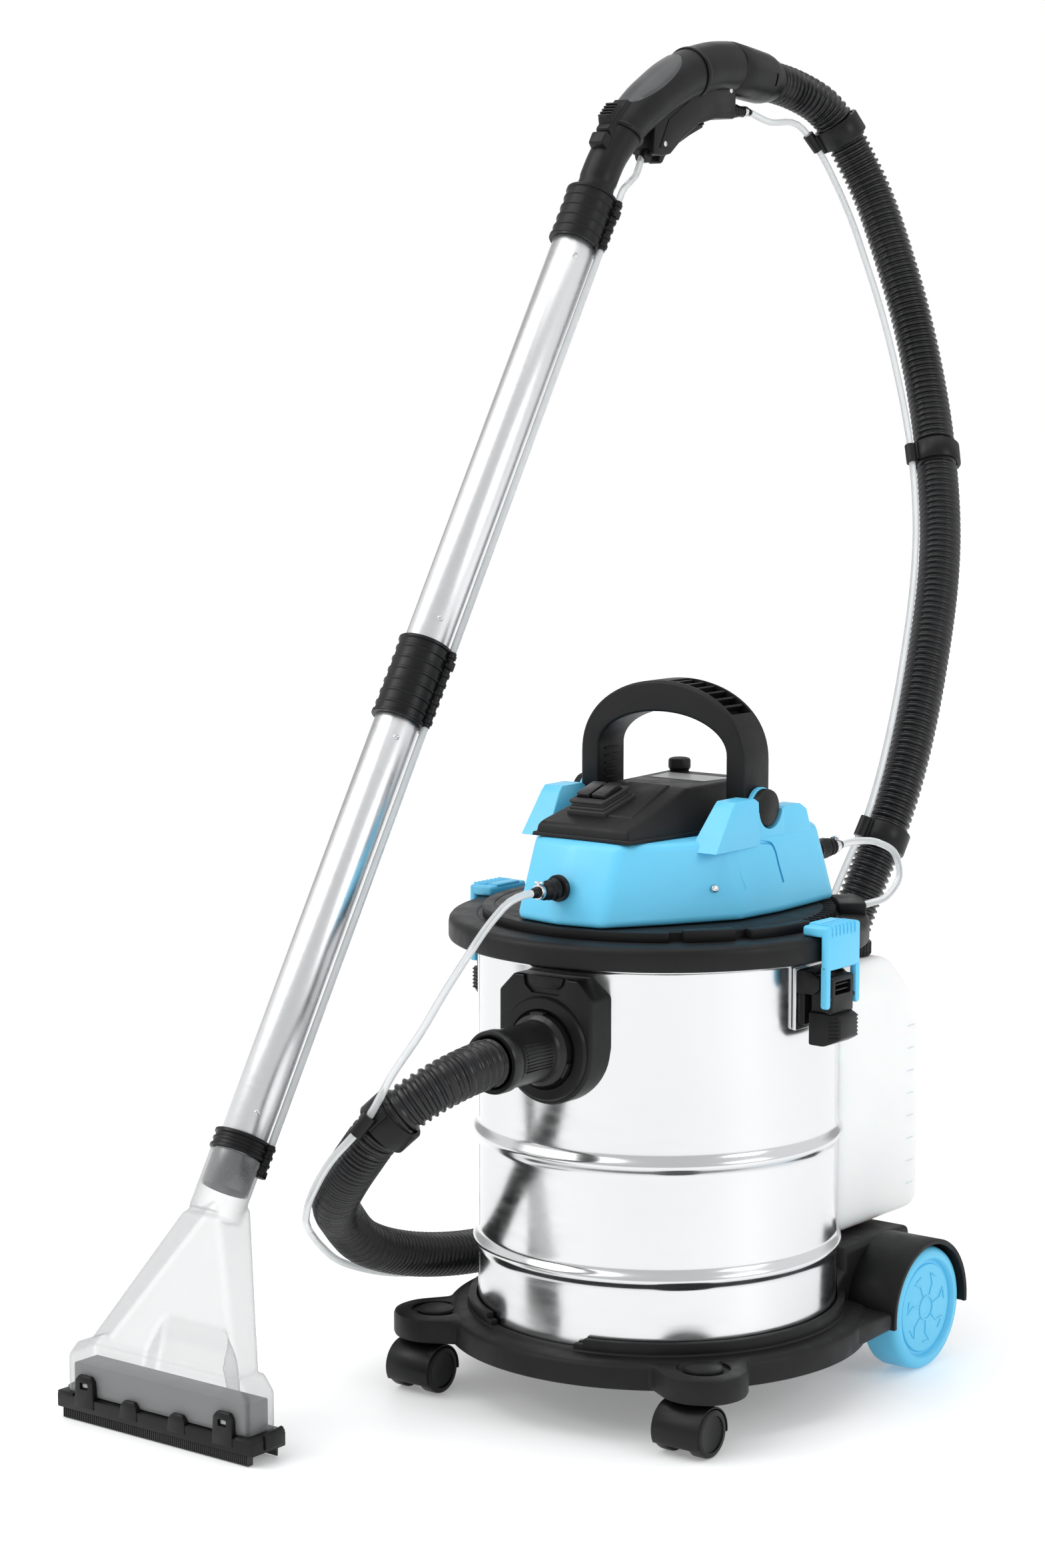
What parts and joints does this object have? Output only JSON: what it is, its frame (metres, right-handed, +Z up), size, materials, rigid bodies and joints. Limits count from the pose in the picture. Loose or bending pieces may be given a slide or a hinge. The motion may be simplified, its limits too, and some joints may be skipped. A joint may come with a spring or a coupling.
{
  "type": "wet carpet cleaner",
  "caption": "Wet carpet cleaner: steel tank on a wheeled dolly, motor head with carry handle, rear water tank, suction hose, and a spray wand with a clear nozzle.",
  "frame": {"origin": "on the floor under the middle of the box around the machine and its wand, without the hose and tubes", "axes": "+Z up, -Y the front with the hose inlet and the switches, +X the machine's side away from the wand"},
  "size_m": [0.4844, 0.9336, 1.0903],
  "materials": {
    "black_plastic": "fine grain",
    "blue_plastic": "satin",
    "stainless_steel": "polished",
    "aluminium": "satin",
    "rubber": "smooth",
    "clear_plastic": "clear",
    "white_plastic": "translucent",
    "grey_plastic": "matte",
    "filter_foam": "open foam"
  },
  "bodies": {
    "root": {"base_dolly": "black_plastic", "inlet_housing": "black_plastic", "clip_bracket_left": "black_plastic", "clip_bracket_right": "black_plastic", "lid_ring": "black_plastic", "top_cover": "black_plastic", "switch_base": "black_plastic", "outlet_barb": "black_plastic", "feed_barb": "black_plastic", "float_cage": "black_plastic", "water_tank_cap": "black_plastic", "hose_clip_1": "black_plastic", "hose_clip_2": "black_plastic", "hose_clip_3": "black_plastic", "hose_clip_4": "black_plastic", "hose_clip_5": "black_plastic", "grip_body": "black_plastic", "trigger_housing": "black_plastic", "wand_socket_top": "black_plastic", "wand_coupling": "black_plastic", "wand_collar": "black_plastic", "nozzle_foot": "black_plastic", "head_shell": "blue_plastic", "tank_body": "stainless_steel", "rear_axle": "stainless_steel", "wand_tube_upper": "aluminium", "wand_tube_lower": "aluminium", "lid_seal": "rubber", "suction_hose": "rubber", "brush_strip": "rubber", "squeegee": "rubber", "nozzle_shell": "clear_plastic", "spray_tube": "clear_plastic", "feed_tube": "clear_plastic", "wand_spray_tube_upper": "clear_plastic", "wand_spray_tube_lower": "clear_plastic", "water_tank": "white_plastic", "motor_housing": "grey_plastic", "water_pump": "grey_plastic", "nozzle_core": "grey_plastic", "filter": "filter_foam"},
    "carry_handle": {"carry_handle": "black_plastic"},
    "switch_vacuum": {"switch_vacuum": "black_plastic"},
    "switch_pump": {"switch_pump": "black_plastic"},
    "clip_lever_left": {"clip_lever_left": "black_plastic"},
    "clip_hook_left": {"clip_hook_left": "blue_plastic"},
    "clip_lever_right": {"clip_lever_right": "black_plastic"},
    "clip_hook_right": {"clip_hook_right": "blue_plastic"},
    "rear_wheel_left": {"rear_wheel_left": "blue_plastic"},
    "rear_wheel_right": {"rear_wheel_right": "blue_plastic"},
    "caster_left": {"caster_housing_left": "black_plastic"},
    "caster_right": {"caster_housing_right": "black_plastic"},
    "caster_wheels_left": {"caster_wheels_left": "black_plastic"},
    "caster_wheels_right": {"caster_wheels_right": "black_plastic"},
    "trigger_lever": {"trigger_lever": "black_plastic"},
    "airflow_slider": {"airflow_slider": "black_plastic"},
    "inlet_cuff": {"inlet_cuff": "black_plastic"},
    "handle_cuff": {"handle_cuff": "black_plastic"},
    "motor_rotor": {"motor_rotor": "aluminium"},
    "float_ball": {"float_ball": "white_plastic"}
  },
  "joints": [
    {"name": "carry_handle_swing", "type": "hinge", "parent": "root", "child": "carry_handle", "pos_m": [0.06425, -0.02425, 0.4655], "axis": [1, 0, 0], "range_deg": [-50, 50]},
    {"name": "switch_vacuum_rock", "type": "hinge", "parent": "root", "child": "switch_vacuum", "pos_m": [0.04605, -0.10791, 0.47746], "axis": [1, 0, 0], "range_deg": [-10, 10]},
    {"name": "switch_pump_rock", "type": "hinge", "parent": "root", "child": "switch_pump", "pos_m": [0.06045, -0.10791, 0.47746], "axis": [1, 0, 0], "range_deg": [-10, 10]},
    {"name": "clip_lever_left_turn", "type": "hinge", "parent": "root", "child": "clip_lever_left", "pos_m": [-0.09575, -0.04425, 0.341], "axis": [0, 1, 0], "range_deg": [0, 95]},
    {"name": "clip_hook_left_turn", "type": "hinge", "parent": "clip_lever_left", "child": "clip_hook_left", "pos_m": [-0.10525, -0.04425, 0.33], "axis": [0, 1, 0], "range_deg": [-119, 0]},
    {"name": "rear_wheel_left_roll", "type": "hinge", "parent": "root", "child": "rear_wheel_left", "pos_m": [-0.07875, 0.10875, 0.05], "axis": [1, 0, 0], "continuous": true},
    {"name": "caster_left_swivel", "type": "hinge", "parent": "root", "child": "caster_left", "pos_m": [-0.06475, -0.16425, 0.03], "axis": [0, 0, 1], "continuous": true},
    {"name": "caster_left_roll", "type": "hinge", "parent": "caster_left", "child": "caster_wheels_left", "pos_m": [-0.06475, -0.18225, 0.0185], "axis": [1, 0, 0], "continuous": true},
    {"name": "clip_lever_right_turn", "type": "hinge", "parent": "root", "child": "clip_lever_right", "pos_m": [0.22425, -0.04425, 0.341], "axis": [0, -1, 0], "range_deg": [0, 95]},
    {"name": "clip_hook_right_turn", "type": "hinge", "parent": "clip_lever_right", "child": "clip_hook_right", "pos_m": [0.23375, -0.04425, 0.33], "axis": [0, -1, 0], "range_deg": [-119, 0]},
    {"name": "rear_wheel_right_roll", "type": "hinge", "parent": "root", "child": "rear_wheel_right", "pos_m": [0.20725, 0.10875, 0.05], "axis": [1, 0, 0], "continuous": true},
    {"name": "caster_right_swivel", "type": "hinge", "parent": "root", "child": "caster_right", "pos_m": [0.19325, -0.16425, 0.03], "axis": [0, 0, 1], "continuous": true},
    {"name": "caster_right_roll", "type": "hinge", "parent": "caster_right", "child": "caster_wheels_right", "pos_m": [0.19325, -0.18225, 0.0185], "axis": [1, 0, 0], "continuous": true},
    {"name": "trigger_squeeze", "type": "hinge", "parent": "root", "child": "trigger_lever", "pos_m": [-0.14075, 0.29075, 1.015], "axis": [-1, 0, 0], "range_deg": [0, 8], "stiffness_Nm_per_rad": 0.3},
    {"name": "airflow_slide", "type": "slide", "parent": "root", "child": "airflow_slider", "axis": [0, 0.7241, 0.6897], "range_m": [-0.006, 0.009]},
    {"name": "inlet_twist", "type": "hinge", "parent": "root", "child": "inlet_cuff", "pos_m": [0.07225, -0.20225, 0.295], "axis": [0, 1, 0], "range_deg": [0, 40]},
    {"name": "handle_cuff_swivel", "type": "hinge", "parent": "root", "child": "handle_cuff", "pos_m": [-0.14075, 0.33925, 1.067], "axis": [0, 0.9945, -0.1045], "continuous": true},
    {"name": "motor_spin", "type": "hinge", "parent": "root", "child": "motor_rotor", "pos_m": [0.06425, -0.04425, 0.36], "axis": [0, 0, 1], "continuous": true},
    {"name": "float_rise", "type": "slide", "parent": "root", "child": "float_ball", "axis": [0, 0, 1], "range_m": [0, 0.03]}
  ],
  "couplings": [
    {"joint": "clip_hook_left_turn", "follows": "clip_lever_left_turn", "ratio": -1.25},
    {"joint": "clip_hook_right_turn", "follows": "clip_lever_right_turn", "ratio": -1.25}
  ]
}
